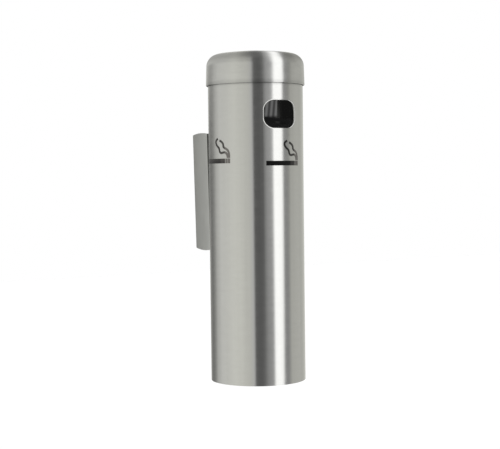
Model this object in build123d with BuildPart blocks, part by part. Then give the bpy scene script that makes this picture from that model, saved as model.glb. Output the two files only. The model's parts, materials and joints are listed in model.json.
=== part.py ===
"""Wall-mounted cigarette bin: a stainless tube with a pull-off lid, hung on a wall bracket.

Millimetres. The origin is the middle of the bracket's back face, where it meets the wall.
+Z is up, the wall is the plane y = 0 and the opening for cigarettes faces -Y.
Heights called h are measured up from the tube's lower edge, radii from the tube's axis.
"""

import os
from math import asin, atan, cos, degrees, radians, sin, sqrt

from build123d import *

# ---- driving dimensions -------------------------------------------------------------------
# tube
TUBE_OD = 76.1  # a standard stainless tube
TUBE_WALL = 1.5
TUBE_LENGTH = 253.0
AXIS_TO_WALL = 64.9

# opening for cigarettes
WINDOW_LOW = 201.3
WINDOW_HIGH = 222.7
WINDOW_WIDTH = 27.4
WINDOW_CORNER = 8.0
WINDOW_EASED = 0.9  # rounding of its outer edge

# lid
LID_RIM_H = 236.2
LID_RIM_R = 39.56
LID_SIDE_R = 39.1  # where the side meets the corner radius
LID_EDGE_H = 261.5  # where the corner radius meets the top
LID_CORNER = 10.0
LID_DOME = 2.0
LID_SHEET = 0.8
LID_EASED = 0.4  # rounding of the rim's outer edge

# wall bracket, a tapered channel with two front lips
BRACKET_LOW = 102.8
BRACKET_HEIGHT = 97.2
BRACKET_HALF_LOW = 20.57
BRACKET_HALF_HIGH = 22.67
BRACKET_DEPTH = 24.7
BRACKET_SHEET = 1.5
LIP_GAP_HALF = 12.5
LIP_BEND = 0.9  # a sharp, coined fold
LIP_INNER_BEND = 0.3
BACK_BEND = 1.8
SIDE_CORNER = 2.5  # rounded corners of the side walls, next to the wall
SIDE_END_DROP = 1.8  # the side walls' ends are shallow arcs, lowest next to the wall
SIDE_END_PEAK = 0.6  # where the arc is highest, as a share of the depth
WALL_HOLE_R = 2.6
WALL_HOLE_SPACING = 60.0

# hanger rail on the tube's back
RAIL_LOW = 112.0
RAIL_HIGH = 192.0
RAIL_SHEET = 1.5
RAIL_LEG_HALF = 10.5  # outer half width of its two legs
RAIL_PLAY = 0.35  # all round, inside the bracket
RIVET_HEIGHTS = (126.0, 152.0, 178.0)
RIVET_R = 2.0

# lock screw, M5, from below
SCREW_R = 2.5
SCREW_CLEARANCE_R = 2.75
SCREW_Y = -11.0
BRACKET_TAB_H = 106.8

# tube base
BASE_H = 10.0  # top of the base disc
BASE_SHEET = 1.2
DRAIN_HOLE_R = 2.5

# inner container
LINER_R = 33.5
LINER_SHEET = 0.8
LINER_LOW = 10.1
RIM_MID_H = 203.5  # rim height at the tube's axis
RIM_SLOPE = 0.18  # rise of the rim per millimetre towards the wall
BEAD_WIDTH = 2.2
BEAD_THICK = 2.2

# bail handle of the inner container
BAIL_WIRE_R = 1.2
BAIL_R = 34.3
BAIL_ABOVE_RIM = 4.0
GRIP_R = 2.2
GRIP_HALF_ANGLE = 26.0
PIN_PLAY = 0.05
EAR_HALF = 3.6
EAR_SHEET = 1.2
EAR_RIVET_R = 1.2
EAR_RIVET_DROPS = (9.0, 16.0)  # below the bail's pivot

# pictogram of a burning cigarette, printed three times round the tube
PRINT_THICK = 0.12
SIGN_BAR_LOW = 172.0
SIGN_BAR_HEIGHT = 3.6
SIDE_SIGN_RAISE = 2.2

# ---- places worked out from them ------------------------------------------------------------
TUBE_R = TUBE_OD / 2
TUBE_BORE_R = TUBE_R - TUBE_WALL
FLOOR_Z = -(BRACKET_LOW + BRACKET_HEIGHT / 2)  # the tube's lower edge
BRACKET_TAPER = (BRACKET_HALF_HIGH - BRACKET_HALF_LOW) / BRACKET_HEIGHT
LINER_BORE_R = LINER_R - LINER_SHEET
RIM_ANGLE = degrees(atan(RIM_SLOPE))
PIVOT_H = RIM_MID_H + BAIL_ABOVE_RIM / cos(radians(RIM_ANGLE))
TUBE_AXIS = Axis((0, -AXIS_TO_WALL, 0), (0, 0, 1))


def z_of(h):
    """Height in the part's frame of a point h above the tube's lower edge."""
    return FLOOR_Z + h


def level(h):
    """Horizontal plane at height h, with its origin on the tube's axis."""
    return Plane((0, -AXIS_TO_WALL, z_of(h)))


def radial_plane(angle):
    """Upright plane through the tube's axis: local x is the radius, local y is h."""
    outward = Vector(cos(radians(angle)), sin(radians(angle)), 0)
    return Plane((0, -AXIS_TO_WALL, FLOOR_Z), x_dir=outward, z_dir=outward.cross(Vector(0, 0, 1)))


def front_plane(y):
    """Upright plane facing the room: local x is x, local y is z in the part's frame."""
    return Plane((0, y, 0), x_dir=(1, 0, 0), z_dir=(0, -1, 0))


def save(piece, name):
    """Label a finished piece and write it under its node's name."""
    piece.part.label = name
    export_step(piece.part, f"parts/{name}.step")


os.makedirs("parts", exist_ok=True)


# ---- tube -----------------------------------------------------------------------------------
def on_window_edge(edge):
    """True for the edges where the opening meets the tube's outer face."""
    middle = edge.position_at(0.5)
    radius = sqrt(middle.X**2 + (middle.Y + AXIS_TO_WALL) ** 2)
    inside = z_of(WINDOW_LOW) - 1 < middle.Z < z_of(WINDOW_HIGH) + 1
    return inside and middle.Y < -AXIS_TO_WALL and abs(radius - TUBE_R) < 0.01


with BuildPart() as tube:
    with BuildSketch(level(0)):
        Circle(TUBE_R)
        Circle(TUBE_BORE_R, mode=Mode.SUBTRACT)
    extrude(amount=TUBE_LENGTH)
    window_z = z_of((WINDOW_LOW + WINDOW_HIGH) / 2)
    with BuildSketch(front_plane(-AXIS_TO_WALL)):
        with Locations((0, window_z)):
            RectangleRounded(WINDOW_WIDTH, WINDOW_HIGH - WINDOW_LOW, WINDOW_CORNER)
    extrude(amount=TUBE_OD, mode=Mode.SUBTRACT)
    fillet(tube.edges().filter_by(on_window_edge), WINDOW_EASED)
    with BuildSketch(front_plane(-AXIS_TO_WALL)):
        with Locations(*[(0, z_of(h)) for h in RIVET_HEIGHTS]):
            Circle(RIVET_R + PIN_PLAY)
    extrude(amount=-TUBE_OD, mode=Mode.SUBTRACT)
save(tube, "tube")


# ---- base disc of the tube: a shallow cup, open side down, with drain holes -------------------
BASE_SKIRT_R = TUBE_BORE_R - PIN_PLAY
BASE_SKIRT_LOW = 1.0
BASE_BEND = 2.0
DRAIN_CIRCLE_R = 22.0

with BuildPart() as base_disc:
    with BuildSketch(level(BASE_SKIRT_LOW)):
        Circle(BASE_SKIRT_R)
    extrude(amount=BASE_H - BASE_SKIRT_LOW)
    fillet(base_disc.edges().group_by(Axis.Z)[-1], BASE_BEND)
    offset(amount=-BASE_SHEET, openings=base_disc.faces().sort_by(Axis.Z)[0])
    with Locations(level(BASE_H)):
        with PolarLocations(DRAIN_CIRCLE_R, 4, start_angle=45):
            Hole(DRAIN_HOLE_R)
save(base_disc, "base_disc")


# ---- wall bracket -----------------------------------------------------------------------------
def bracket_half(h):
    """Outer half width of the bracket at height h."""
    return BRACKET_HALF_LOW + BRACKET_TAPER * (h - BRACKET_LOW)


def wedge_outline(h_low, h_high, inset):
    """Front view of the tapered channel between two heights, drawn in by inset."""
    low = bracket_half(h_low) - inset
    high = bracket_half(h_high) - inset
    z_low = z_of(h_low)
    z_high = z_of(h_high)
    Polyline((-low, z_low), (low, z_low), (high, z_high), (-high, z_high), close=True)


BRACKET_HIGH = BRACKET_LOW + BRACKET_HEIGHT
SCREW_TAB_HALF = 9.0
SCREW_TAB_DEPTH = 20.0
CUT_SPARE = 2.0  # how far a cut runs past the faces it opens

with BuildPart() as wall_bracket:
    with BuildSketch(front_plane(0)):
        with BuildLine():
            wedge_outline(BRACKET_LOW, BRACKET_HIGH, 0)
        make_face()
    extrude(amount=BRACKET_DEPTH)
    upright = wall_bracket.edges().filter_by(lambda e: e.length > BRACKET_HEIGHT - 1)
    fillet(upright.group_by(Axis.Y)[0], LIP_BEND)
    upright = wall_bracket.edges().filter_by(lambda e: e.length > BRACKET_HEIGHT - 1)
    fillet(upright.group_by(Axis.Y)[-1], BACK_BEND)
    with BuildPart(mode=Mode.PRIVATE) as bracket_core:
        with BuildSketch(front_plane(-BRACKET_SHEET)):
            with BuildLine():
                wedge_outline(BRACKET_LOW - CUT_SPARE, BRACKET_HIGH + CUT_SPARE, BRACKET_SHEET)
            make_face()
        extrude(amount=BRACKET_DEPTH - 2 * BRACKET_SHEET)
        core_edges = bracket_core.edges().filter_by(lambda e: e.length > BRACKET_HEIGHT)
        fillet(core_edges.group_by(Axis.Y)[0], LIP_INNER_BEND)
    add(bracket_core.part, mode=Mode.SUBTRACT)
    with BuildSketch(front_plane(-BRACKET_DEPTH / 2)):
        Rectangle(2 * LIP_GAP_HALF, BRACKET_HEIGHT + 2 * CUT_SPARE)
    extrude(amount=BRACKET_DEPTH, mode=Mode.SUBTRACT)
    with BuildSketch(level(BRACKET_TAB_H)):
        with Locations((0, AXIS_TO_WALL - SCREW_TAB_DEPTH / 2 - BRACKET_SHEET / 2)):
            Rectangle(2 * SCREW_TAB_HALF, SCREW_TAB_DEPTH - BRACKET_SHEET)
        with Locations((0, AXIS_TO_WALL + SCREW_Y)):
            Circle(SCREW_CLEARANCE_R, mode=Mode.SUBTRACT)
    extrude(amount=BRACKET_SHEET)
    with BuildSketch(Plane.YZ.offset(-BRACKET_HALF_HIGH)) as side_view:
        top = BRACKET_HEIGHT / 2
        peak_y = -BRACKET_DEPTH * SIDE_END_PEAK
        front_drop = SIDE_END_DROP * ((1 - SIDE_END_PEAK) / SIDE_END_PEAK) ** 2
        with BuildLine():
            Line((0, SIDE_END_DROP - top), (0, top - SIDE_END_DROP))
            Line((-BRACKET_DEPTH, front_drop - top), (-BRACKET_DEPTH, top - front_drop))
            for end in (top, -top):
                drop = SIDE_END_DROP * end / top
                ThreePointArc(
                    (0, end - drop),
                    (peak_y, end),
                    (-BRACKET_DEPTH, end - front_drop * end / top),
                )
        make_face()
        fillet(side_view.vertices().group_by(Axis.X)[-1], SIDE_CORNER)
    extrude(amount=2 * BRACKET_HALF_HIGH, mode=Mode.INTERSECT)
    with BuildSketch(front_plane(0)):
        with Locations((0, WALL_HOLE_SPACING / 2), (0, -WALL_HOLE_SPACING / 2)):
            Circle(WALL_HOLE_R)
    extrude(amount=BRACKET_SHEET + CUT_SPARE, mode=Mode.SUBTRACT)
save(wall_bracket, "wall_bracket")


# ---- hanger rail: a hat-section strip, its crown shaped to the tube's back ----------------------
LIP_BACK_Y = -(BRACKET_DEPTH - BRACKET_SHEET)
BRIM_Y = LIP_BACK_Y + RAIL_PLAY  # the brims' face towards the lips
BRIM_EDGE = 1.2  # rounding that clears the inside of the bracket's bends
RAIL_TAB_END_Y = -4.5
RAIL_TAB_CORNER = 3.0

with BuildPart() as hanger_rail:
    with BuildSketch(level(RAIL_LOW)):
        Circle(TUBE_R + RAIL_SHEET)
        Circle(TUBE_R, mode=Mode.SUBTRACT)
        with Locations((0, TUBE_R)):
            Rectangle(2 * RAIL_LEG_HALF, TUBE_R, mode=Mode.INTERSECT)
        leg_start = sqrt(TUBE_R**2 - RAIL_LEG_HALF**2) + RAIL_SHEET / 2
        leg_end = AXIS_TO_WALL + BRIM_Y + RAIL_SHEET
        leg_x = RAIL_LEG_HALF - RAIL_SHEET / 2
        with Locations((leg_x, (leg_start + leg_end) / 2), (-leg_x, (leg_start + leg_end) / 2)):
            Rectangle(RAIL_SHEET, leg_end - leg_start)
        brim_end = BRACKET_HALF_HIGH
        brim_x = (brim_end + RAIL_LEG_HALF - RAIL_SHEET) / 2
        brim_mid_y = AXIS_TO_WALL + BRIM_Y + RAIL_SHEET / 2
        with Locations((brim_x, brim_mid_y), (-brim_x, brim_mid_y)):
            Rectangle(brim_end - RAIL_LEG_HALF + RAIL_SHEET, RAIL_SHEET)
    extrude(amount=RAIL_HIGH - RAIL_LOW)
    with BuildSketch(front_plane(0)):
        with BuildLine():
            wedge_outline(RAIL_LOW, RAIL_HIGH, BRACKET_SHEET + RAIL_PLAY)
        make_face()
    extrude(amount=AXIS_TO_WALL, mode=Mode.INTERSECT)
    long_edges = hanger_rail.edges().filter_by(lambda e: e.length > RAIL_HIGH - RAIL_LOW - 1)
    brim_edges = long_edges.filter_by(lambda e: abs(e.center().Y - BRIM_Y) < 0.01)
    brim_ends = brim_edges.sort_by(lambda e: abs(e.center().X))[-2:]
    fillet(brim_ends, BRIM_EDGE)
    with BuildSketch(level(RAIL_LOW)):
        tab_low_y = AXIS_TO_WALL + BRIM_Y
        tab_high_y = AXIS_TO_WALL + RAIL_TAB_END_Y
        with Locations((0, (tab_low_y + tab_high_y) / 2)):
            tab = Rectangle(2 * leg_x, tab_high_y - tab_low_y)
        fillet(tab.vertices().group_by(Axis.Y)[-1], RAIL_TAB_CORNER)
        with Locations((0, AXIS_TO_WALL + SCREW_Y)):
            Circle(SCREW_CLEARANCE_R, mode=Mode.SUBTRACT)
    extrude(amount=RAIL_SHEET)
    with BuildSketch(front_plane(-AXIS_TO_WALL)):
        with Locations(*[(0, z_of(h)) for h in RIVET_HEIGHTS]):
            Circle(RIVET_R + PIN_PLAY)
    extrude(amount=-AXIS_TO_WALL, mode=Mode.SUBTRACT)
save(hanger_rail, "hanger_rail")


# ---- blind rivets through the rail and the tube ---------------------------------------------------
RIVET_HEAD_R = 3.6
RIVET_HEAD_THICK = 0.9
RIVET_TAIL_R = 3.0
RIVET_TAIL_THICK = 1.7
HEAD_SEAT_R = sqrt(TUBE_BORE_R**2 - RIVET_HEAD_R**2) - PIN_PLAY  # flat seat inside the round bore
TAIL_SEAT_R = TUBE_R + RAIL_SHEET + PIN_PLAY

with BuildPart() as rail_rivets:
    for rivet_h in RIVET_HEIGHTS:
        with BuildSketch(front_plane(HEAD_SEAT_R - AXIS_TO_WALL)):
            with Locations((0, z_of(rivet_h))):
                Circle(RIVET_HEAD_R)
        extrude(amount=RIVET_HEAD_THICK)
        with BuildSketch(front_plane(HEAD_SEAT_R - AXIS_TO_WALL)):
            with Locations((0, z_of(rivet_h))):
                Circle(RIVET_R)
        extrude(amount=HEAD_SEAT_R - TAIL_SEAT_R)
        with BuildSketch(front_plane(TAIL_SEAT_R - AXIS_TO_WALL)):
            with Locations((0, z_of(rivet_h))):
                Circle(RIVET_TAIL_R)
        extrude(amount=-RIVET_TAIL_THICK)
    round_heads = rail_rivets.edges().filter_by(GeomType.CIRCLE)
    fillet(round_heads.group_by(Axis.Y)[0], RIVET_HEAD_THICK / 2)
    round_tails = rail_rivets.edges().filter_by(GeomType.CIRCLE)
    fillet(round_tails.group_by(Axis.Y)[-1], RIVET_TAIL_THICK / 2)
save(rail_rivets, "rail_rivets")


# ---- lock screw from below, its washer, and the nut on the rail's tab ------------------------------
WASHER_R = 5.0
WASHER_THICK = 1.0
SCREW_HEAD_R = 4.75
SCREW_HEAD_THICK = 2.7
SCREW_END_H = 119.0
SOCKET_R = 1.73  # corner radius of the 3 mm hexagon socket
SOCKET_DEPTH = 1.6
SOCKET_PIN_R = 0.5
NUT_CORNER_R = 4.62  # 8 mm across flats
NUT_THICK = 4.0
HEAD_H = BRACKET_TAB_H - WASHER_THICK - SCREW_HEAD_THICK

with BuildPart() as lock_screw:
    with BuildSketch(level(HEAD_H)):
        with Locations((0, AXIS_TO_WALL + SCREW_Y)):
            Circle(SCREW_HEAD_R)
    extrude(amount=SCREW_HEAD_THICK)
    fillet(lock_screw.edges().group_by(Axis.Z)[0], SCREW_HEAD_THICK / 2)
    with BuildSketch(level(HEAD_H)):
        with Locations((0, AXIS_TO_WALL + SCREW_Y)):
            RegularPolygon(SOCKET_R, 6)
            Circle(SOCKET_PIN_R, mode=Mode.SUBTRACT)
    extrude(amount=SOCKET_DEPTH, mode=Mode.SUBTRACT)
    with BuildSketch(level(HEAD_H + SCREW_HEAD_THICK)):
        with Locations((0, AXIS_TO_WALL + SCREW_Y)):
            Circle(SCREW_R)
    extrude(amount=SCREW_END_H - HEAD_H - SCREW_HEAD_THICK)
    chamfer(lock_screw.edges().group_by(Axis.Z)[-1], SOCKET_PIN_R)
save(lock_screw, "lock_screw")

with BuildPart() as lock_washer:
    with BuildSketch(level(BRACKET_TAB_H - WASHER_THICK)):
        with Locations((0, AXIS_TO_WALL + SCREW_Y)):
            Circle(WASHER_R)
            Circle(SCREW_R + PIN_PLAY, mode=Mode.SUBTRACT)
    extrude(amount=WASHER_THICK)
save(lock_washer, "lock_washer")

with BuildPart() as lock_nut:
    with BuildSketch(level(RAIL_LOW + RAIL_SHEET)):
        with Locations((0, AXIS_TO_WALL + SCREW_Y)):
            RegularPolygon(NUT_CORNER_R, 6)
            Circle(SCREW_R + PIN_PLAY, mode=Mode.SUBTRACT)
    extrude(amount=NUT_THICK)
save(lock_nut, "lock_nut")


# ---- lid: one drawn cap, slightly tapered side, round corner, shallow dome --------------------------
def lid_profile(inset):
    """Closed half section of the lid's outer shape (local x radius, local y h), drawn in by inset."""
    side = LID_SIDE_R - inset
    rim = LID_RIM_R - inset
    corner = LID_CORNER - inset
    edge_r = LID_SIDE_R - LID_CORNER
    edge_h = LID_EDGE_H - inset
    side_h = LID_EDGE_H - LID_CORNER
    top_h = edge_h + LID_DOME
    sphere_r = (edge_r**2 + LID_DOME**2) / (2 * LID_DOME)  # the dome is part of a ball on the axis
    half_angle = asin(edge_r / sphere_r) / 2
    half_way = (sphere_r * sin(half_angle), top_h - sphere_r * (1 - cos(half_angle)))
    Polyline((0, LID_RIM_H), (rim, LID_RIM_H), (side, side_h))
    CenterArc((edge_r, side_h), corner, 0, 90)
    ThreePointArc((edge_r, edge_h), half_way, (0, top_h))
    Line((0, top_h), (0, LID_RIM_H))


with BuildPart() as lid:
    with BuildSketch(radial_plane(0)):
        with BuildLine():
            lid_profile(0)
        make_face()
        with BuildLine():
            lid_profile(LID_SHEET)
        make_face(mode=Mode.SUBTRACT)
    revolve(axis=TUBE_AXIS)
    rim_circles = lid.edges().group_by(Axis.Z)[0]
    fillet(rim_circles.sort_by(SortBy.LENGTH)[-1], LID_EASED)
save(lid, "lid")


# ---- lid clips: three leaf springs, welded under the lid's top, that grip inside the tube -----------
CLIP_SHEET = 0.6
CLIP_WIDTH = 9.0
CLIP_ANGLES = (90, 210, 330)
CLIP_BEND = 1.2
FOOT_INNER_R = 19.0
FOOT_OUTER_R = LID_SIDE_R - LID_CORNER - 0.5
CLIP_BULGE_R = TUBE_BORE_R - RAIL_PLAY - CLIP_SHEET / 2
CLIP_BULGE_H = 242.5


def under_dome(radius):
    """Height of a clip's middle plane where its foot lies against the lid's top."""
    reach = LID_SIDE_R - LID_CORNER
    dome_h = LID_EDGE_H - LID_SHEET + LID_DOME * (1 - (radius / reach) ** 2)
    return dome_h - CLIP_SHEET / 2 - PIN_PLAY


for clip_number, clip_angle in enumerate(CLIP_ANGLES, start=1):
    with BuildPart() as lid_clip:
        with BuildSketch(radial_plane(clip_angle)):
            with BuildLine():
                FilletPolyline(
                    (FOOT_INNER_R, under_dome(FOOT_INNER_R)),
                    (FOOT_OUTER_R, under_dome(FOOT_OUTER_R)),
                    (CLIP_BULGE_R - 1.5, CLIP_BULGE_H + 12),
                    (CLIP_BULGE_R - 1.5, CLIP_BULGE_H + 4),
                    (CLIP_BULGE_R, CLIP_BULGE_H),
                    (CLIP_BULGE_R - 2.0, CLIP_BULGE_H - 3.5),
                    radius=CLIP_BEND,
                )
            trace(line_width=CLIP_SHEET)
        extrude(amount=CLIP_WIDTH / 2, both=True)
    save(lid_clip, f"lid_clip_{clip_number}")


# ---- inner container: a tin with its rim cut at a slant, low at the front ----------------------------
def rim_plane(above):
    """The rim's slanted plane, moved up along its own normal."""
    normal = Vector(0, -sin(radians(RIM_ANGLE)), cos(radians(RIM_ANGLE)))
    centre = Vector(0, -AXIS_TO_WALL, z_of(RIM_MID_H)) + normal * above
    return Plane(centre, x_dir=(1, 0, 0), z_dir=normal)


def rim_ellipse(radius, mode=Mode.ADD):
    """A round tin of this radius, as the slanted plane cuts it."""
    return Ellipse(radius, radius / cos(radians(RIM_ANGLE)), mode=mode)


LINER_BLANK_H = 225.0
BEAD_ROUND = BEAD_THICK / 2 - 0.1
EAR_AZIMUTHS = {"left": -1, "right": 1}

with BuildPart() as liner:
    with BuildSketch(level(LINER_LOW)):
        Circle(LINER_R)
        Circle(LINER_BORE_R, mode=Mode.SUBTRACT)
    extrude(amount=LINER_BLANK_H - LINER_LOW)
    with BuildSketch(rim_plane(0)):
        Circle(TUBE_OD)
    extrude(amount=TUBE_OD, mode=Mode.SUBTRACT)
    with BuildSketch(rim_plane(-BEAD_THICK / 2)):
        rim_ellipse(LINER_BORE_R + BEAD_WIDTH)
        rim_ellipse(LINER_BORE_R, mode=Mode.SUBTRACT)
    extrude(amount=BEAD_THICK)
    bead_edges = liner.edges().filter_by(GeomType.ELLIPSE)
    fillet(bead_edges.sort_by(lambda e: e.length)[-2:], BEAD_ROUND)
    with BuildSketch(Plane.YZ):
        with Locations(*[(-AXIS_TO_WALL, z_of(PIVOT_H - drop)) for drop in EAR_RIVET_DROPS]):
            Circle(EAR_RIVET_R + PIN_PLAY)
    extrude(amount=TUBE_R, both=True, mode=Mode.SUBTRACT)
save(liner, "liner")

LINER_BASE_RISE = 3.0
LINER_BASE_BEND = 1.2

with BuildPart() as liner_base:
    with BuildSketch(level(LINER_LOW)):
        Circle(LINER_BORE_R - PIN_PLAY)
    extrude(amount=LINER_BASE_RISE)
    fillet(liner_base.edges().group_by(Axis.Z)[-1], LINER_BASE_BEND)
    offset(amount=-LINER_SHEET, openings=liner_base.faces().sort_by(Axis.Z)[0])
save(liner_base, "liner_base")


# ---- ears of the bail, inside the tin's wall, and their rivets -----------------------------------------
EAR_LENGTH = 21.0
EAR_RIVET_HEAD_R = 2.1
EAR_RIVET_HEAD_THICK = 0.7
EAR_INNER_R = LINER_BORE_R - PIN_PLAY - EAR_SHEET


def ear(side):
    """One ear: a strip curved to the tin's wall, round at the top about the pivot."""
    with BuildPart() as piece:
        with BuildSketch(level(PIVOT_H - EAR_LENGTH)):
            Circle(LINER_BORE_R - PIN_PLAY)
            Circle(EAR_INNER_R, mode=Mode.SUBTRACT)
        extrude(amount=EAR_LENGTH + EAR_HALF)
        with BuildSketch(Plane.YZ):
            with Locations((-AXIS_TO_WALL, z_of(PIVOT_H - EAR_LENGTH / 2))):
                Rectangle(2 * EAR_HALF, EAR_LENGTH)
            with Locations((-AXIS_TO_WALL, z_of(PIVOT_H))):
                Circle(EAR_HALF)
                Circle(BAIL_WIRE_R + PIN_PLAY, mode=Mode.SUBTRACT)
            with Locations(*[(-AXIS_TO_WALL, z_of(PIVOT_H - drop)) for drop in EAR_RIVET_DROPS]):
                Circle(EAR_RIVET_R + PIN_PLAY, mode=Mode.SUBTRACT)
        extrude(amount=side * TUBE_R, mode=Mode.INTERSECT)
    return piece


for ear_name, ear_side in EAR_AZIMUTHS.items():
    save(ear(ear_side), f"bail_ear_{ear_name}")


INNER_SEAT_R = sqrt(EAR_INNER_R**2 - EAR_RIVET_HEAD_R**2) - PIN_PLAY
EAR_RIVET_STEPS = (  # from, to, and radius of each step along the rivet
    (INNER_SEAT_R - EAR_RIVET_HEAD_THICK, INNER_SEAT_R, EAR_RIVET_HEAD_R),
    (INNER_SEAT_R, LINER_R, EAR_RIVET_R),
    (LINER_R, LINER_R + EAR_RIVET_HEAD_THICK, EAR_RIVET_HEAD_R),
)

with BuildPart() as ear_rivets:
    for ear_side in EAR_AZIMUTHS.values():
        for start, end, radius in EAR_RIVET_STEPS:
            with BuildSketch(Plane.YZ.offset(ear_side * start)):
                with Locations(*[(-AXIS_TO_WALL, z_of(PIVOT_H - drop)) for drop in EAR_RIVET_DROPS]):
                    Circle(radius)
            extrude(amount=ear_side * (end - start))
save(ear_rivets, "ear_rivets")


# ---- bail: a half hoop of wire, folded back along the rim, with a sleeve where it is held ---------------
BAIL_END_HEAD_R = 2.0
BAIL_END_HEAD_THICK = 0.8
BAIL_CENTRE = Vector(0, -AXIS_TO_WALL, z_of(PIVOT_H))
HOOP_PLANE = Plane(BAIL_CENTRE, x_dir=(1, 0, 0), z_dir=rim_plane(0).z_dir)
BAIL_HEAD_SEAT = EAR_INNER_R - RAIL_PLAY
BAIL_END_STEPS = (  # the turned-in end, then its flattened head
    (BAIL_R, BAIL_HEAD_SEAT, BAIL_WIRE_R),
    (BAIL_HEAD_SEAT, BAIL_HEAD_SEAT - BAIL_END_HEAD_THICK, BAIL_END_HEAD_R),
)


def hoop_arc(start_angle, arc_angle):
    """Stretch of the bail's arc, measured from its right-hand pivot."""
    return CenterArc((0, 0), BAIL_R, start_angle, arc_angle)


with BuildPart() as bail_handle:
    with BuildLine(HOOP_PLANE) as hoop:
        hoop_arc(0, 180)
    with BuildSketch(Plane(hoop.line @ 0, z_dir=hoop.line % 0)):
        Circle(BAIL_WIRE_R)
    sweep(path=hoop.line)
    for ear_side in EAR_AZIMUTHS.values():
        with Locations(BAIL_CENTRE + Vector(ear_side * BAIL_R, 0, 0)):
            Sphere(BAIL_WIRE_R)
        for start, end, radius in BAIL_END_STEPS:
            with BuildSketch(Plane.YZ.offset(ear_side * start)):
                with Locations((-AXIS_TO_WALL, z_of(PIVOT_H))):
                    Circle(radius)
            extrude(amount=ear_side * (end - start))
save(bail_handle, "bail_handle")

with BuildPart() as bail_grip:
    with BuildLine(HOOP_PLANE) as grip_path:
        hoop_arc(90 - GRIP_HALF_ANGLE, 2 * GRIP_HALF_ANGLE)
    with BuildSketch(Plane(grip_path.line @ 0, z_dir=grip_path.line % 0)):
        Circle(GRIP_R)
        Circle(BAIL_WIRE_R + PIN_PLAY, mode=Mode.SUBTRACT)
    sweep(path=grip_path.line)
save(bail_grip, "bail_grip")


# ---- pictograms: a burning cigarette, printed on the front and on both sides ----------------------------
BAR_LEFT = -13.2
BAR_RIGHT = 18.4
EMBER_WIDTHS = (2.0, 1.6)  # the glowing end is two short blocks, from the right
EMBER_GAP = 0.5
SMOKE_LINE = 1.6
SIDE_SIGN_STEP = 91.7  # degrees round the tube from one sign to the next
SIGNS = {
    "front": (-90, 0.0),
    "left": (-90 - SIDE_SIGN_STEP, SIDE_SIGN_RAISE),
    "right": (-90 + SIDE_SIGN_STEP, SIDE_SIGN_RAISE),
}


def across(arc_length):
    """Flat distance from the axis plane to a point this far round the tube's face."""
    return TUBE_R * sin(arc_length / TUBE_R)


# each wisp of smoke is a smooth line through points given from the bar's top right corner; the two
# run together at their feet
RIGHT_WISP = (
    (-0.9, 0.55),
    (-1.0, 3.8),
    (-2.4, 6.7),
    (-5.0, 8.2),
    (-6.4, 9.3),
    (-6.7, 11.0),
    (-8.3, 13.0),
    (-10.8, 14.2),
)
LEFT_WISP = (
    (-2.35, 0.55),
    (-2.75, 3.0),
    (-4.4, 4.7),
    (-6.8, 4.8),
    (-9.3, 4.5),
    (-10.8, 5.9),
    (-11.4, 7.9),
    (-13.7, 9.9),
    (-15.6, 12.6),
    (-13.0, 15.6),
)


def pictogram(angle, raise_h):
    """The sign as thin printed solids on the tube, centred on a direction round the axis."""
    outward = Vector(cos(radians(angle)), sin(radians(angle)), 0)
    centre = Vector(0, -AXIS_TO_WALL, z_of(SIGN_BAR_LOW + raise_h))
    sign_plane = Plane(centre, x_dir=Vector(0, 0, 1).cross(outward), z_dir=outward)
    with BuildPart() as piece:
        with BuildSketch(sign_plane):
            right = BAR_RIGHT
            bar_width = BAR_RIGHT - BAR_LEFT - sum(EMBER_WIDTHS) - 2 * EMBER_GAP
            for width in (*EMBER_WIDTHS, bar_width):
                left = right - width
                with Locations(((across(left) + across(right)) / 2, SIGN_BAR_HEIGHT / 2)):
                    Rectangle(across(right) - across(left), SIGN_BAR_HEIGHT)
                right = left - EMBER_GAP
            for wisp in (RIGHT_WISP, LEFT_WISP):
                with BuildLine():
                    Spline([(across(BAR_RIGHT + x), SIGN_BAR_HEIGHT + y) for x, y in wisp])
                trace(line_width=SMOKE_LINE)
        extrude(amount=TUBE_OD)
        with BuildSketch(level(SIGN_BAR_LOW - SIGN_BAR_HEIGHT)):
            Circle(TUBE_R + PRINT_THICK)
            Circle(TUBE_R, mode=Mode.SUBTRACT)
        extrude(amount=TUBE_R, mode=Mode.INTERSECT)
    return piece


for sign_name, (sign_angle, sign_raise) in SIGNS.items():
    save(pictogram(sign_angle, sign_raise), f"pictogram_{sign_name}")
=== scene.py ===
"""Looks of the wall-mounted cigarette bin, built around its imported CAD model. Metres, +Z up."""

import json
import math

import bmesh
import bpy
from mathutils import Matrix, Vector


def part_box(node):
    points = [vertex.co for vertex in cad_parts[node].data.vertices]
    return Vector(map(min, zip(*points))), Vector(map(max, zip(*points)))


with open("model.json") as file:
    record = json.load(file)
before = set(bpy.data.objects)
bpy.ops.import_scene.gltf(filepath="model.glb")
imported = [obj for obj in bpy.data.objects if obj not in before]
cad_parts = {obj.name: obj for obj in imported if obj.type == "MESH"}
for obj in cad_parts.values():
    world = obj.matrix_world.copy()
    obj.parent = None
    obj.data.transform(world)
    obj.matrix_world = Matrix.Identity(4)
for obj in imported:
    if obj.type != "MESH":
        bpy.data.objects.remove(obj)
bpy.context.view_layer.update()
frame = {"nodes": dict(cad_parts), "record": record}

MM = 0.001
TAU = 2 * math.pi
nodes = frame["nodes"]

# ---- places read from the frame ---------------------------------------------------------------
tube_low, tube_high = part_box("tube")
TUBE_R = (tube_high.x - tube_low.x) / 2
AXIS_Y = (tube_low.y + tube_high.y) / 2
TUBE_FOOT = tube_low.z
TUBE_WALL = 1.5 * MM
BORE = (TUBE_R - TUBE_WALL) / MM  # radius in millimetres


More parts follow.
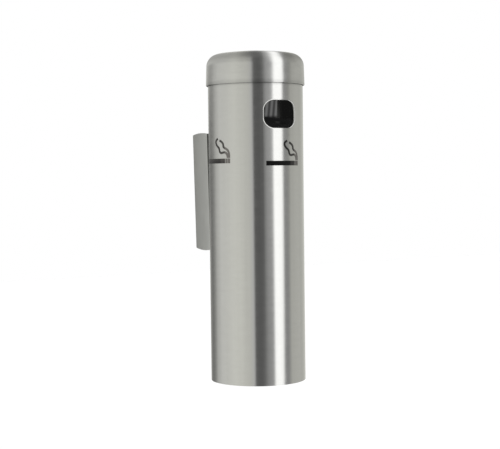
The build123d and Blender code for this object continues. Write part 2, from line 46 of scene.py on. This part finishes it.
# ---- camera: a metre from the tube, to its left, level with its upper half -----------------------
CAMERA_DISTANCE = 1001.1 * MM
CAMERA_HEIGHT = 163.45 * MM  # above the tube's lower edge
CAMERA_AZIMUTH = math.radians(-31.8)
CAMERA_PITCH = 0.03844
CAMERA_ROLL = -0.01167
CAMERA_YAW = -0.00549
CAMERA_LENS = 89.43
CAMERA_SENSOR = 36.0


def make_camera():
    turn = Matrix.Rotation(CAMERA_AZIMUTH, 3, "Z")
    forward = turn @ Vector((
        math.sin(CAMERA_YAW) * math.cos(CAMERA_PITCH),
        math.cos(CAMERA_YAW) * math.cos(CAMERA_PITCH),
        -math.sin(CAMERA_PITCH),
    ))
    level_right = turn @ Vector((math.cos(CAMERA_YAW), -math.sin(CAMERA_YAW), 0))
    level_up = level_right.cross(forward)
    right = math.cos(CAMERA_ROLL) * level_right + math.sin(CAMERA_ROLL) * level_up
    up = -math.sin(CAMERA_ROLL) * level_right + math.cos(CAMERA_ROLL) * level_up
    data = bpy.data.cameras.new("camera")
    data.lens = CAMERA_LENS
    data.sensor_width = CAMERA_SENSOR
    data.clip_start = 0.01
    data.clip_end = 50
    camera = bpy.data.objects.new("camera", data)
    bpy.context.scene.collection.objects.link(camera)
    axes = Matrix((right, up, -forward)).transposed().to_4x4()
    place = Vector((
        CAMERA_DISTANCE * math.sin(CAMERA_AZIMUTH),
        AXIS_Y - CAMERA_DISTANCE * math.cos(CAMERA_AZIMUTH),
        TUBE_FOOT + CAMERA_HEIGHT,
    ))
    camera.matrix_world = Matrix.Translation(place) @ axes
    bpy.context.scene.camera = camera


make_camera()


# ---- shader helpers ------------------------------------------------------------------------------
def node(tree, kind, **settings):
    """A new shader node; a setting whose name is a socket sets that socket's default."""
    made = tree.nodes.new(kind)
    for name, value in settings.items():
        if name in made.inputs:
            made.inputs[name].default_value = value
        else:
            setattr(made, name, value)
    return made


def feed(tree, made, values):
    """Link sockets, or set plain values, on a node's inputs from the first one on."""
    for socket, value in zip(made.inputs, values):
        if isinstance(value, bpy.types.NodeSocket):
            tree.links.new(value, socket)
        else:
            socket.default_value = value
    return made


def calc(tree, operation, *values):
    """The result of a math node."""
    return feed(tree, node(tree, "ShaderNodeMath", operation=operation), values).outputs[0]


def remap(tree, value, low, high, to_low=0.0, to_high=1.0, smooth=False):
    """Value taken from one range to another and held at its ends."""
    kind = "SMOOTHSTEP" if smooth else "LINEAR"
    made = node(tree, "ShaderNodeMapRange", interpolation_type=kind, clamp=True)
    return feed(tree, made, (value, low, high, to_low, to_high)).outputs[0]


def blend(tree, share, first, second, kind="RGBA"):
    """From the first colour or number to the second as the share goes from 0 to 1."""
    made = node(tree, "ShaderNodeMix", data_type=kind)
    for socket, value in ((made.inputs[0], share), (made.inputs["A"], first), (made.inputs["B"], second)):
        if isinstance(value, bpy.types.NodeSocket):
            tree.links.new(value, socket)
        else:
            socket.default_value = value
    return made.outputs["Result"]


# ---- studio: pale soft surroundings with a strip light and a dark flag ---------------------------
# Each stop is (degrees round the studio from the camera's side, brightness). Positive is to the
# camera's right. The bands stand upright at eye level and run on overhead, away from the camera, so
# they stay straight on a face that curves up and away.
STUDIO_LOWER = (
    (-180, 0.50), (-165, 0.46), (-155, 0.35), (-145, 0.24), (-138, 0.22), (-126, 0.32),
    (-112, 0.63), (-98, 0.74), (-50, 0.85), (-36, 0.79), (-18, 0.72), (-9, 0.67), (-5, 0.15),
    (9, 0.15), (14, 0.18), (20, 0.25), (26, 0.34), (37, 0.42), (41, 0.88), (43, 1.50),
    (62, 1.50), (65, 0.75), (68.5, 0.34), (79, 0.33), (90, 0.60), (118, 0.62), (136, 0.58),
    (152, 0.66), (180, 0.74),
)
STUDIO_LEVEL = (
    (-180, 0.20), (-150, 0.20), (-138, 0.22), (-126, 0.32), (-112, 0.64), (-98, 0.76), (-50, 0.87),
    (-36, 0.80), (-18, 0.73), (-9, 0.66), (-5, 0.14), (9, 0.14), (14, 0.16), (20, 0.235),
    (26, 0.33), (37, 0.43), (41, 0.90), (43, 1.60), (67, 1.60), (69.5, 0.85), (72, 0.35),
    (81, 0.35), (90, 0.61), (118, 0.62), (136, 0.58), (152, 0.66), (180, 0.74),
)
STUDIO_UPPER = (
    (-180, 0.16), (-150, 0.17), (-138, 0.19), (-126, 0.31), (-112, 0.62), (-98, 0.76), (-50, 0.86),
    (-36, 0.79), (-18, 0.71), (-9, 0.67), (-5, 0.14), (9, 0.13), (15, 0.17), (19, 0.27),
    (24, 0.47), (33, 0.52), (37, 0.60), (41, 0.90), (43, 1.62), (65, 1.62), (68, 0.80),
    (71, 0.37), (86, 0.35), (95, 0.56), (110, 0.60), (136, 0.56), (152, 0.66), (180, 0.74),
)
STUDIO_RAISED = (
    (-180, 0.62), (-140, 0.64), (-106, 0.62), (-76, 0.62), (-51, 0.66), (-29, 0.58), (-14, 0.50),
    (-9, 0.47), (-5, 0.15), (9, 0.14), (15, 0.17), (19, 0.29), (24, 0.42), (35, 0.64),
    (40, 1.00), (43, 1.65), (65, 1.65), (68, 0.80), (71, 0.40), (86, 0.39), (102, 0.43),
    (120, 0.52), (180, 0.60),
)
STUDIO_OVERHEAD = (
    (-180, 0.40), (-106, 0.50), (-51, 0.52), (-29, 0.33), (-10, 0.22), (-5, 0.17), (13, 0.19),
    (24, 0.46), (35, 0.85), (41, 1.25), (46, 1.60), (57, 1.50), (64, 1.00), (71, 0.38),
    (84, 0.28), (102, 0.29), (120, 0.38), (180, 0.38),
)
STUDIO_ZENITH = (
    (-180, 0.90), (-70, 0.90), (-29, 0.62), (-9, 0.46), (13, 0.46), (30, 0.75), (45, 0.95),
    (60, 0.80), (80, 0.70), (120, 0.85), (180, 0.90),
)
STUDIO_HEIGHTS = (  # slopes of a mirroring face between which each ring of bands takes over
    ((-0.09, -0.035), STUDIO_LEVEL),
    ((-0.02, 0.002), STUDIO_UPPER),
    ((0.04, 0.22), STUDIO_RAISED),
    ((0.28, 0.68), STUDIO_OVERHEAD),
    ((0.87, 0.965), STUDIO_ZENITH),
)
WARMTH = ((-180, 0.955), (-66, 0.93), (-12, 0.99), (82, 0.93))  # blue share from these degrees on


def studio_ramp(tree, around, bands):
    """Light round the studio at one height, from a list of stops."""
    ramp = node(tree, "ShaderNodeValToRGB")
    stops = ramp.color_ramp.elements
    while len(stops) < len(bands):
        stops.new(0.5)
    for stop, (degrees, light) in zip(stops, bands):
        stop.position = degrees / 360 + 0.5
        blue = [share for start, share in WARMTH if degrees >= start][-1]
        stop.color = (light, light, light * blue, 1)
    tree.links.new(around, ramp.inputs[0])
    return ramp.outputs[0]


def make_studio():
    """Mirrored rays see the studio, the camera and matt faces see plain white."""
    world = bpy.data.worlds.new("studio")
    bpy.context.scene.world = world
    world.use_nodes = True
    tree = world.node_tree
    tree.nodes.clear()
    link = tree.links.new
    place = node(tree, "ShaderNodeTexCoord")
    turned = node(tree, "ShaderNodeVectorRotate", rotation_type="Z_AXIS", Angle=-CAMERA_AZIMUTH)
    link(place.outputs["Generated"], turned.inputs["Vector"])
    split = node(tree, "ShaderNodeSeparateXYZ")
    link(turned.outputs[0], split.inputs[0])
    ahead = calc(tree, "MAXIMUM", calc(tree, "SUBTRACT", 1.0, split.outputs["Y"]), 0.0001)
    half_angle = calc(tree, "ARCTAN2", split.outputs["X"], ahead)
    around = calc(tree, "MULTIPLY_ADD", half_angle, 2 / TAU, 0.5)
    slope = calc(tree, "DIVIDE", split.outputs["Z"], calc(tree, "SQRT", calc(tree, "MULTIPLY", ahead, 2.0)))
    whole = studio_ramp(tree, around, STUDIO_LOWER)
    for (low, high), bands in STUDIO_HEIGHTS:
        share = remap(tree, slope, low, high, smooth=True)
        whole = blend(tree, share, whole, studio_ramp(tree, around, bands))
    studio = node(tree, "ShaderNodeBackground")
    link(whole, studio.inputs["Color"])
    plain = node(tree, "ShaderNodeBackground", Color=(1, 1, 1, 1), Strength=1.0)
    path = node(tree, "ShaderNodeLightPath")
    plain_share = calc(tree, "MAXIMUM", path.outputs["Is Camera Ray"], path.outputs["Is Diffuse Ray"])
    choose = node(tree, "ShaderNodeMixShader")
    link(plain_share, choose.inputs[0])
    link(studio.outputs[0], choose.inputs[1])
    link(plain.outputs[0], choose.inputs[2])
    output = node(tree, "ShaderNodeOutputWorld")
    link(choose.outputs[0], output.inputs["Surface"])
    bpy.context.scene.view_settings.view_transform = "Standard"


make_studio()
GLOSSY_BOUNCES = 8  # light reaches the tube's bore by several reflections
bpy.context.scene.cycles.glossy_bounces = GLOSSY_BOUNCES


# ---- floor ---------------------------------------------------------------------------------------
FLOOR_BELOW = 0.95  # under the bin's lower edge
FLOOR_HALF = 12.0


def make_floor():
    """A wide pale floor below the hanging bin; the steel mirrors the studio, not the floor."""
    shape = bmesh.new()
    bmesh.ops.create_grid(shape, x_segments=2, y_segments=2, size=FLOOR_HALF)
    bmesh.ops.translate(shape, verts=shape.verts, vec=(0, AXIS_Y, TUBE_FOOT - FLOOR_BELOW))
    data = bpy.data.meshes.new("floor")
    shape.to_mesh(data)
    shape.free()
    floor = bpy.data.objects.new("floor", data)
    bpy.context.scene.collection.objects.link(floor)
    floor.visible_glossy = False
    paint = bpy.data.materials.new("floor_white")
    paint.use_nodes = True
    shader = paint.node_tree.nodes["Principled BSDF"]
    shader.inputs["Base Color"].default_value = (0.98, 0.98, 0.98, 1)
    shader.inputs["Roughness"].default_value = 1.0
    shader.inputs["Specular IOR Level"].default_value = 0.0
    shader.inputs["Emission Color"].default_value = (1, 1, 1, 1)
    shader.inputs["Emission Strength"].default_value = 0.06
    data.materials.append(paint)


make_floor()


# ---- materials -----------------------------------------------------------------------------------
def new_material(name, roughness, **settings):
    """A material with its tree and main shader; settings are plain values on the shader."""
    made = bpy.data.materials.new(name)
    made.use_nodes = True
    tree = made.node_tree
    shader = tree.nodes["Principled BSDF"]
    shader.inputs["Roughness"].default_value = roughness
    for socket, value in settings.items():
        shader.inputs[socket.replace("_", " ")].default_value = value
    return made, tree, shader


def round_place(tree):
    """Millimetres round the tube from its front, out from its axis and up: as a place, and singly."""
    where = node(tree, "ShaderNodeTexCoord")
    split = node(tree, "ShaderNodeSeparateXYZ")
    tree.links.new(where.outputs["Object"], split.inputs[0])
    across = split.outputs["X"]
    back = calc(tree, "SUBTRACT", split.outputs["Y"], AXIS_Y)
    front = calc(tree, "MULTIPLY", back, -1.0)
    angle = calc(tree, "ARCTAN2", across, front)
    arc = calc(tree, "MULTIPLY", angle, TUBE_R / MM)
    squares = calc(tree, "MULTIPLY_ADD", across, across, calc(tree, "MULTIPLY", back, back))
    radius = calc(tree, "MULTIPLY", calc(tree, "SQRT", squares), 1 / MM)
    up = calc(tree, "MULTIPLY", split.outputs["Z"], 1 / MM)
    place = feed(tree, node(tree, "ShaderNodeCombineXYZ"), (arc, radius, up))
    return place.outputs[0], arc, radius, up


def flat_place(tree):
    """Millimetres in the part's own frame."""
    where = node(tree, "ShaderNodeTexCoord")
    scaled = node(tree, "ShaderNodeVectorMath", operation="SCALE", Scale=1 / MM)
    tree.links.new(where.outputs["Object"], scaled.inputs[0])
    return scaled.outputs[0]


def streaks(tree, place, sizes, detail=2.0, shift=0.0):
    """Noise from 0 to 1 whose features measure these millimetres along the place's three axes."""
    scale = tuple(1 / size for size in sizes)
    laid = node(tree, "ShaderNodeMapping", Scale=scale, Location=(shift, shift, shift))
    tree.links.new(place, laid.inputs["Vector"])
    noise = node(tree, "ShaderNodeTexNoise", Scale=1.0, Detail=detail, Roughness=0.5)
    tree.links.new(laid.outputs[0], noise.inputs["Vector"])
    return noise.outputs["Fac"]


def swing(tree, value, amount, middle=1.0):
    """A noise value turned into a factor that swings round the middle by the amount."""
    return remap(tree, value, 0.25, 0.75, middle - amount, middle + amount)


def worn_edges(tree, radius, low=0.02, high=0.22):
    """1 on edges sharper than the radius, 0 on open faces."""
    rounded = node(tree, "ShaderNodeBevel", samples=4, Radius=radius)
    surface = node(tree, "ShaderNodeNewGeometry")
    alike = node(tree, "ShaderNodeVectorMath", operation="DOT_PRODUCT")
    feed(tree, alike, (rounded.outputs[0], surface.outputs["Normal"]))
    turned = calc(tree, "SUBTRACT", 1.0, alike.outputs["Value"])
    return remap(tree, turned, low, high)


def contact_shade(tree, reach, darkest):
    """1 on open faces, down to darkest where another surface stands within reach."""
    shade = node(tree, "ShaderNodeAmbientOcclusion", samples=6, Distance=reach)
    return remap(tree, shade.outputs["AO"], 0.25, 0.95, darkest, 1.0)


def tinted(tree, colour, *factors):
    """A colour multiplied by one or more factors."""
    total = factors[0]
    for factor in factors[1:]:
        total = calc(tree, "MULTIPLY", total, factor)
    scaled = node(tree, "ShaderNodeVectorMath", operation="SCALE")
    feed(tree, scaled, (colour,))
    tree.links.new(total, scaled.inputs["Scale"])
    return scaled.outputs[0]


def bump(tree, shader, height, depth):
    """Raise the shader's surface by height, where 1 stands this many metres proud."""
    made = node(tree, "ShaderNodeBump", Strength=1.0, Distance=depth)
    tree.links.new(height, made.inputs["Height"])
    tree.links.new(made.outputs[0], shader.inputs["Normal"])


def brush_round_z(tree, shader):
    """Brushing that runs round the tube: highlights spread up and down."""
    tangent = node(tree, "ShaderNodeTangent", direction_type="RADIAL", axis="Z")
    tree.links.new(tangent.outputs[0], shader.inputs["Tangent"])
    shader.inputs["Anisotropic Rotation"].default_value = 0.25


RELIEF_UNIT = 0.01 * MM  # how far a height of 1 stands proud on brushed steel and print
GRAIN_UNIT = 0.004 * MM  # on rolled sheet and small pieces
SKIN_UNIT = 0.02 * MM  # on paint and plastic
BRUSH_RELIEF = 0.06
STRAY_LIGHT = 0.008  # painted light: a faint glow given to dark pieces inside the tube for the little light that gets there
BRUSH = (22.0, 40.0, 0.7)  # millimetres round, through and across one brushing mark
MOTTLE = (8.0, 8.0, 3.5)
STEEL = (0.62, 0.62, 0.61)
STEEL_EDGE = (0.72, 0.72, 0.71, 1)
BORE_ROUGHNESS = 0.15
BORE_SHADE_EDGE = (76.0, 80.0)  # millimetres round the bore, short of which it is darkened by painted shade

GLOW_RIGHT = (78.0, 79.6)  # millimetres round the bore over which the lit patch fades in
GLOW_LEFT = (91.5, 94.0)
GLOW_FOOT = (60.4, 63.6)  # and up it
GLOW_HEAD = (75.5, 80.0)
GLOW_STEP = 4.35  # from streak to streak
GLOW_FIRST = 87.4  # place of a streak at height 0
GLOW_LEAN = 0.11


def bore_glow(tree, arc, up):
    """Painted light in the bore, given as emission: faint, with a patch of leaning streaks opposite the
    opening's light.
    """
    leaning = calc(tree, "MULTIPLY_ADD", up, GLOW_LEAN, arc)
    off_streak = calc(tree, "PINGPONG", calc(tree, "SUBTRACT", leaning, GLOW_FIRST), GLOW_STEP / 2)
    streak = remap(tree, off_streak, 0.15, GLOW_STEP / 2 - 0.25, 0.125, 0.040, smooth=True)
    right = remap(tree, arc, *GLOW_RIGHT, smooth=True)
    left = remap(tree, arc, *GLOW_LEFT, 1.0, 0.0, smooth=True)
    foot = remap(tree, up, *GLOW_FOOT, smooth=True)
    head = remap(tree, up, *GLOW_HEAD, 1.0, 0.0, smooth=True)
    patch = calc(tree, "MULTIPLY", calc(tree, "MULTIPLY", left, right), calc(tree, "MULTIPLY", foot, head))
    return calc(tree, "MULTIPLY_ADD", streak, patch, 0.006)


def make_tube_steel():
    """Satin tube: brushed outside with painted contact shade, plain drawn steel inside with painted shade
    and a painted glow, bright worn edges.
    """
    made, tree, shader = new_material(
        "tube_steel", 0.20, Metallic=1.0, Anisotropic=0.9, Emission_Strength=1.0
    )
    place, arc, radius, up = round_place(tree)
    brush_round_z(tree, shader)
    fine = streaks(tree, place, BRUSH)
    mottle = streaks(tree, place, MOTTLE, shift=11.0)
    upright = streaks(tree, place, (5.0, 40.0, 260.0), shift=23.0)
    # painted contact shade, darkest under the lid's rim
    shade = contact_shade(tree, 2.5 * MM, 0.25)
    outer = tinted(
        tree,
        STEEL,
        swing(tree, fine, 0.018),
        swing(tree, mottle, 0.022),
        swing(tree, upright, 0.025),
        shade,
    )
    edge = worn_edges(tree, 0.5 * MM)
    outer = blend(tree, calc(tree, "MULTIPLY", edge, 0.25), outer, STEEL_EDGE)
    inside = remap(tree, radius, BORE + 0.3, BORE + 0.6, 1.0, 0.0)
    groove = streaks(tree, place, (2.2, 60.0, 300.0), detail=1.0, shift=5.0)
    # painted shade: the bore is darkened to 0.4 short of the shade edge
    bore_painted_shade = remap(tree, arc, *BORE_SHADE_EDGE, 0.4, 1.0)
    drawn = tinted(tree, (0.32, 0.32, 0.31), swing(tree, groove, 0.15), bore_painted_shade)
    # painted light: the bore glows by emission
    glow = calc(tree, "MULTIPLY", bore_glow(tree, arc, up), inside)
    tree.links.new(tinted(tree, (1.0, 1.0, 0.99), glow), shader.inputs["Emission Color"])
    tree.links.new(blend(tree, inside, outer, drawn), shader.inputs["Base Color"])
    satin = calc(tree, "MULTIPLY", swing(tree, fine, 0.04), swing(tree, mottle, 0.03, 0.20))
    tree.links.new(blend(tree, inside, satin, BORE_ROUGHNESS, "FLOAT"), shader.inputs["Roughness"])
    height = calc(tree, "MULTIPLY", inside, groove)
    height = calc(tree, "MULTIPLY_ADD", height, 5.0, calc(tree, "MULTIPLY", fine, BRUSH_RELIEF))
    bump(tree, shader, height, RELIEF_UNIT)
    return made


LID_RIM_SHADE = 3.4  # millimetres up from the rim over which the lid is darkened by painted shade


def make_lid_steel():
    """Drawn cap, smoother than the tube, faintly clouded by the drawing and darkened at its rim by painted
    shade.
    """
    made, tree, shader = new_material("lid_steel", 0.21, Metallic=1.0, Anisotropic=0.67)
    place, _, _, up = round_place(tree)
    brush_round_z(tree, shader)
    fine = streaks(tree, place, (BRUSH[0], 0.7, BRUSH[2]), shift=3.0)
    cloud = streaks(tree, place, (10.0, 9.0, 5.0), shift=17.0)
    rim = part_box("lid")[0].z / MM
    # painted shade near the rim
    rim_painted_shade = remap(tree, up, rim, rim + LID_RIM_SHADE, 0.80, 1.0)
    face = tinted(tree, STEEL, swing(tree, fine, 0.02), swing(tree, cloud, 0.05), rim_painted_shade)
    edge = worn_edges(tree, 0.4 * MM)
    face = blend(tree, calc(tree, "MULTIPLY", edge, 0.4), face, STEEL_EDGE)
    tree.links.new(face, shader.inputs["Base Color"])
    rough = calc(tree, "MULTIPLY", swing(tree, fine, 0.04), swing(tree, cloud, 0.03, 0.21))
    tree.links.new(rough, shader.inputs["Roughness"])
    height = calc(tree, "MULTIPLY_ADD", cloud, 3.0, calc(tree, "MULTIPLY", fine, BRUSH_RELIEF))
    bump(tree, shader, height, RELIEF_UNIT)
    return made


def make_bracket_steel():
    """Folded satin sheet, darker towards the wall by painted shade, and deep in painted shade where it
    faces the tube.
    """
    made, tree, shader = new_material("bracket_steel", 0.34, Metallic=1.0)
    place = flat_place(tree)
    split = node(tree, "ShaderNodeSeparateXYZ")
    tree.links.new(place, split.inputs[0])
    depth = -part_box("wall_bracket")[0].y / MM
    # painted shade towards the wall and a little painted light towards the front
    wall_side_shade = remap(tree, split.outputs["Y"], -depth, 0.0, 1.08, 0.76)
    fine = streaks(tree, place, (0.3, 0.3, 30.0), detail=3.0)
    cloud = streaks(tree, place, (9.0, 9.0, 14.0), detail=3.0, shift=7.0)
    face = tinted(tree, (0.60, 0.605, 0.595), wall_side_shade, swing(tree, fine, 0.02), swing(tree, cloud, 0.04))
    surface = node(tree, "ShaderNodeNewGeometry")
    facing = node(tree, "ShaderNodeSeparateXYZ")
    tree.links.new(surface.outputs["Normal"], facing.inputs[0])
    # painted shade: faces turned to the front, behind the tube, darkened to a third
    painted_shade_facing_tube = remap(tree, facing.outputs["Y"], -0.75, -0.25, 0.32, 1.0)
    face = tinted(tree, face, contact_shade(tree, 5.0 * MM, 0.35), painted_shade_facing_tube)
    tree.links.new(face, shader.inputs["Base Color"])
    rough = calc(tree, "MULTIPLY", swing(tree, fine, 0.05), swing(tree, cloud, 0.05, 0.34))
    tree.links.new(rough, shader.inputs["Roughness"])
    bump(tree, shader, calc(tree, "MULTIPLY_ADD", cloud, 2.0, fine), GRAIN_UNIT)
    return made


def make_plain_steel(name, colour, roughness, grain, cloud_size, wear=0.4, stray=0.0):
    """Small steel pieces: rolled sheet, springs, rivets, screws and wire."""
    # stray is a painted glow, given as emission
    made, tree, shader = new_material(name, roughness, Metallic=1.0, Emission_Strength=stray)
    place = flat_place(tree)
    fine = streaks(tree, place, grain, detail=3.0)
    cloud = streaks(tree, place, (cloud_size,) * 3, detail=3.0, shift=9.0)
    face = tinted(tree, colour, swing(tree, fine, 0.06), swing(tree, cloud, 0.10))
    edge = worn_edges(tree, 0.25 * MM)
    face = blend(tree, calc(tree, "MULTIPLY", edge, wear), face, STEEL_EDGE)
    tree.links.new(face, shader.inputs["Base Color"])
    rough = calc(tree, "MULTIPLY", swing(tree, fine, 0.08), swing(tree, cloud, 0.06, roughness))
    tree.links.new(rough, shader.inputs["Roughness"])
    bump(tree, shader, calc(tree, "MULTIPLY_ADD", cloud, 1.5, fine), GRAIN_UNIT)
    return made


def make_liner_paint():
    """Black stoved paint on the tin: fine orange peel, ash-dulled, rubbed to steel at the rim, with a faint
    painted glow.
    """
    made, tree, shader = new_material("liner_paint", 0.48, Emission_Strength=STRAY_LIGHT)
    place = flat_place(tree)
    peel = streaks(tree, place, (0.7, 0.7, 0.7))
    dust = streaks(tree, place, (12.0, 12.0, 20.0), detail=4.0, shift=4.0)
    face = tinted(tree, (0.05, 0.05, 0.052), swing(tree, dust, 0.35))
    edge = worn_edges(tree, 0.25 * MM, 0.05, 0.4)
    face = blend(tree, calc(tree, "MULTIPLY", edge, 0.25), face, (0.06, 0.06, 0.06, 1))
    tree.links.new(face, shader.inputs["Base Color"])
    tree.links.new(swing(tree, dust, 0.08, 0.5), shader.inputs["Roughness"])
    bump(tree, shader, peel, SKIN_UNIT)
    return made


def make_grip_plastic():
    """Black extruded sleeve with a matt, finely speckled skin."""
    made, tree, shader = new_material("grip_plastic", 0.55)
    place = flat_place(tree)
    skin = streaks(tree, place, (0.35, 0.35, 0.35), detail=3.0)
    face = tinted(tree, (0.017, 0.017, 0.018), swing(tree, skin, 0.2))
    tree.links.new(face, shader.inputs["Base Color"])
    tree.links.new(swing(tree, skin, 0.06, 0.55), shader.inputs["Roughness"])
    bump(tree, shader, skin, SKIN_UNIT)
    return made


SIGN_STEP = math.radians(91.7) * TUBE_R / MM  # millimetres round the tube from sign to sign
SIGN_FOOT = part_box("pictogram_front")[0].z / MM
# the reach over which the print gets thinner, or on the left sign lighter, and by how much
THIN_TAIL = ((7.8, 9.6), 0.14)  # millimetres right of a sign's middle
THIN_EMBER = ((12.6, 14.0), 0.52)
LIGHTER_LEFT_SIGN = ((-30.0, -40.0), 0.13)  # millimetres round the tube, over which the left sign's print is lighter
THIN_SMOKE = ((SIGN_FOOT + 3.6, SIGN_FOOT + 4.2), 0.08)  # millimetres up
INK = (0.003, 0.003, 0.003)
THIN_INK = (0.168, 0.157, 0.144, 1)


def make_print():
    """Matt black print, thinner in the smoke, and thin and brownish at each sign's glowing end."""
    made, tree, shader = new_material(
        "print", 0.6, Specular_IOR_Level=0.06, Sheen_Weight=0.12, Sheen_Roughness=0.5
    )
    place, arc, _, up = round_place(tree)
    offset = calc(tree, "ADD", arc, SIGN_STEP * 1.5)
    across = calc(tree, "SUBTRACT", calc(tree, "MODULO", offset, SIGN_STEP), SIGN_STEP / 2)
    speck = streaks(tree, place, (0.5, 0.5, 0.5), detail=3.0)
    ink = tinted(tree, INK, swing(tree, speck, 0.3))
    # the share of pale ink: thinner at the tail, the ember and in the smoke, lighter on the left sign
    thin = 0.0
    for value, (reach, share) in (
        (across, THIN_TAIL),
        (across, THIN_EMBER),
        (arc, LIGHTER_LEFT_SIGN),
        (up, THIN_SMOKE),
    ):
        thin = calc(tree, "ADD", thin, remap(tree, value, *reach, 0.0, share, smooth=True))
    ink = blend(tree, thin, ink, THIN_INK)
    tree.links.new(ink, shader.inputs["Base Color"])
    bump(tree, shader, speck, RELIEF_UNIT)
    return made


MATERIALS = {
    "tube_steel": make_tube_steel(),
    "lid_steel": make_lid_steel(),
    "bracket_steel": make_bracket_steel(),
    "sheet_steel": make_plain_steel("sheet_steel", (0.50, 0.50, 0.49), 0.36, (0.4, 0.4, 25.0), 8.0),
    "spring_steel": make_plain_steel("spring_steel", (0.42, 0.42, 0.42), 0.26, (0.2, 0.2, 12.0), 3.0),
    "screw_steel": make_plain_steel("screw_steel", (0.56, 0.56, 0.56), 0.24, (1.5, 1.5, 0.2), 2.0),
    "rivet_steel": make_plain_steel("rivet_steel", (0.58, 0.58, 0.57), 0.30, (0.4, 0.4, 0.4), 1.5),
    # the wire is given a faint painted glow
    "wire": make_plain_steel(
        "wire", (0.10, 0.10, 0.105), 0.42, (0.3, 0.3, 0.3), 3.0, wear=0.15, stray=STRAY_LIGHT
    ),
    "liner_paint": make_liner_paint(),
    "grip_plastic": make_grip_plastic(),
    "print": make_print(),
}


def dress_nodes():
    """Give every CAD node the finish of its slot in the record."""
    for row in frame["record"]["subparts"]:
        data = nodes[row["node"]].data
        data.materials.clear()
        data.materials.append(MATERIALS[row["material_slot"]])


dress_nodes()
